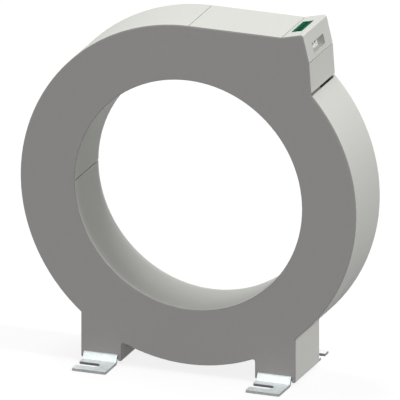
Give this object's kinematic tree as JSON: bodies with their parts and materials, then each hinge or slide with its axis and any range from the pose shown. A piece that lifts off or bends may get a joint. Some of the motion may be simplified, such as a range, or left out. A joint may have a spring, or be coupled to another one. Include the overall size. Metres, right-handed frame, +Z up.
{
  "type": "summation current transformer",
  "caption": "Ring-shaped summation current transformer with a large round window, a wire terminal in a raised head, and snap-in mounting brackets with open screw slots.",
  "frame": {"origin": "on the mounting plane under the four brackets, below the window's axis and midway between the front and the back", "axes": "+X towards the head with the terminal, +Y along the window's axis from the front cover to the back, +Z up from the mounting plane"},
  "size_m": [0.177, 0.0694, 0.1839],
  "materials": {
    "housing_grey": "light grey, fine moulded texture",
    "cover_grey": "mid grey, fine moulded texture",
    "terminal_green": "dark green, satin",
    "contact_tin": "tin-plated sheet",
    "spring_steel": "bright spring steel",
    "board_green": "green solder mask",
    "resistor_body": "light blue lacquer",
    "diode_body": "black epoxy",
    "lead_white": "white insulation",
    "lead_red": "red insulation",
    "shield_alloy": "annealed nickel-iron sheet",
    "core_alloy": "wound alloy tape, satin edge",
    "foam": "dark foam",
    "case_black": "black moulding",
    "copper": "enamelled copper wire, closely wound",
    "tape_yellow": "yellow film tape",
    "zinc_plate": "zinc-plated sheet"
  },
  "bodies": {
    "root": {"housing_tub": "housing_grey", "front_cover": "cover_grey", "terminal_cover": "housing_grey", "terminal_block": "terminal_green", "release_buttons": "terminal_green", "wire_guide": "housing_grey", "terminal_contacts": "contact_tin", "clamp_springs": "spring_steel", "circuit_board": "board_green", "burden_resistor": "resistor_body", "suppressor_diode": "diode_body", "winding_lead_start": "lead_white", "winding_lead_end": "lead_red", "shield_ring": "shield_alloy", "magnetic_core": "core_alloy", "core_cushion_front": "foam", "core_cushion_rear": "foam", "core_case": "case_black", "core_case_lid": "case_black", "secondary_winding": "copper", "winding_tape": "tape_yellow", "coil_pad_front": "foam", "coil_pad_rear": "foam", "bracket_front_left": "zinc_plate", "bracket_front_right": "zinc_plate", "bracket_rear_left": "zinc_plate", "bracket_rear_right": "zinc_plate"}
  },
  "joints": []
}
